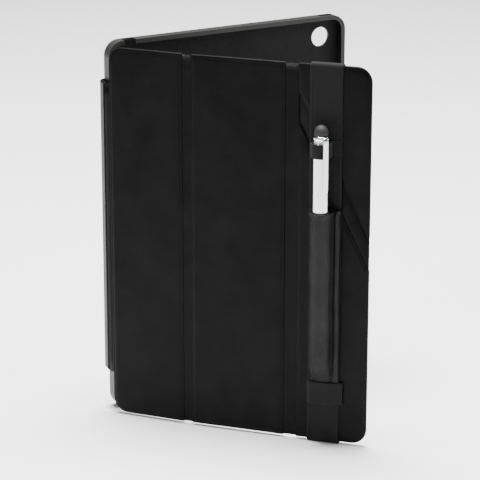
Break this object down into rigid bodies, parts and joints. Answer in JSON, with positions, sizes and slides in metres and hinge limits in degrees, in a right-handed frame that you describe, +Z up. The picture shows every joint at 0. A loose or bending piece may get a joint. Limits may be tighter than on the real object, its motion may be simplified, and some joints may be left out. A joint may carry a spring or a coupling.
{
  "type": "tablet case",
  "caption": "Folding book-style tablet case: moulded tray, hinged cover in three panels with a cut corner, elastic strap with pen pouch and pen.",
  "frame": {"origin": "centre of the tray's bottom face, where the upright case stands", "axes": "+X across the tray away from the spine, -Y out of the tray's open front, +Z up the tray"},
  "size_m": [0.1783, 0.1458, 0.244],
  "materials": {
    "tray_plastic": "fine matt moulded",
    "tray_felt": "brushed microfibre",
    "cover_leather": "pebbled black leatherette",
    "cover_board": "pressed fibre board",
    "cover_lining": "brushed microfibre",
    "magnet_steel": "nickel plated",
    "elastic_web": "woven elastic",
    "pouch_leather": "cross-grained black leatherette",
    "pen_chrome": "polished",
    "tip_rubber": "soft black rubber",
    "refill_brass": "drawn tube"
  },
  "bodies": {
    "tray": {"tray_shell": "tray_plastic", "tray_lining": "tray_felt", "spine_tail": "cover_leather"},
    "spine": {"tray_hinge_strip": "cover_leather", "spine_skin": "cover_leather", "spine_board": "cover_board", "spine_lining": "cover_lining"},
    "panel_1": {"cover_hinge_strip": "cover_leather", "panel_1_skin": "cover_leather", "panel_1_board": "cover_board", "panel_1_lining": "cover_lining", "stand_magnets": "magnet_steel"},
    "panel_2": {"fold_strip_1": "cover_leather", "panel_2_skin": "cover_leather", "panel_2_board": "cover_board", "panel_2_lining": "cover_lining"},
    "panel_3": {"fold_strip_2": "cover_leather", "panel_3_skin": "cover_leather", "panel_3_board": "cover_board", "panel_3_lining": "cover_lining", "corner_flap_skin": "cover_leather", "corner_flap_board": "cover_board", "corner_flap_lining": "cover_lining", "corner_fold_strip": "cover_leather", "closing_magnets": "magnet_steel", "corner_magnets": "magnet_steel"},
    "strap": {"elastic_band": "elastic_web", "pen_pouch": "pouch_leather", "pouch_binding": "pouch_leather", "pen_loop": "elastic_web", "strap_keeper": "elastic_web"},
    "pen": {"stylus_tip": "tip_rubber", "tip_collar": "pen_chrome", "pen_clip": "pen_chrome", "upper_barrel": "pen_chrome", "centre_ring": "pen_chrome", "lower_barrel": "pen_chrome", "pen_nose": "pen_chrome", "ink_refill": "refill_brass"}
  },
  "joints": [
    {"name": "tray_hinge", "type": "hinge", "parent": "tray", "child": "spine", "pos_m": [-0.08825, 0.005, 0.122], "axis": [0, 0, -1], "range_deg": [-12, 163], "deforming": ["tray_hinge_strip"]},
    {"name": "cover_hinge", "type": "hinge", "parent": "spine", "child": "panel_1", "pos_m": [-0.09091, -0.00752, 0.122], "axis": [0, 0, -1], "range_deg": [-40, 135], "deforming": ["cover_hinge_strip"]},
    {"name": "fold_1", "type": "hinge", "parent": "panel_1", "child": "panel_2", "pos_m": [-0.05705, -0.05086, 0.122], "axis": [0, 0, 1], "range_deg": [-118, 27], "deforming": ["fold_strip_1"]},
    {"name": "fold_2", "type": "hinge", "parent": "panel_2", "child": "panel_3", "pos_m": [-0.01244, -0.10218, 0.122], "axis": [0, 0, 1], "range_deg": [-106, 119], "deforming": ["fold_strip_2"]},
    {"name": "strap_slide", "type": "slide", "parent": "panel_3", "child": "strap", "axis": [0.6691, -0.7431, 0], "range_m": [-0.003, 0.06]},
    {"name": "pen_slide", "type": "slide", "parent": "strap", "child": "pen", "axis": [0, 0, 1], "range_m": [0, 0.15]}
  ]
}
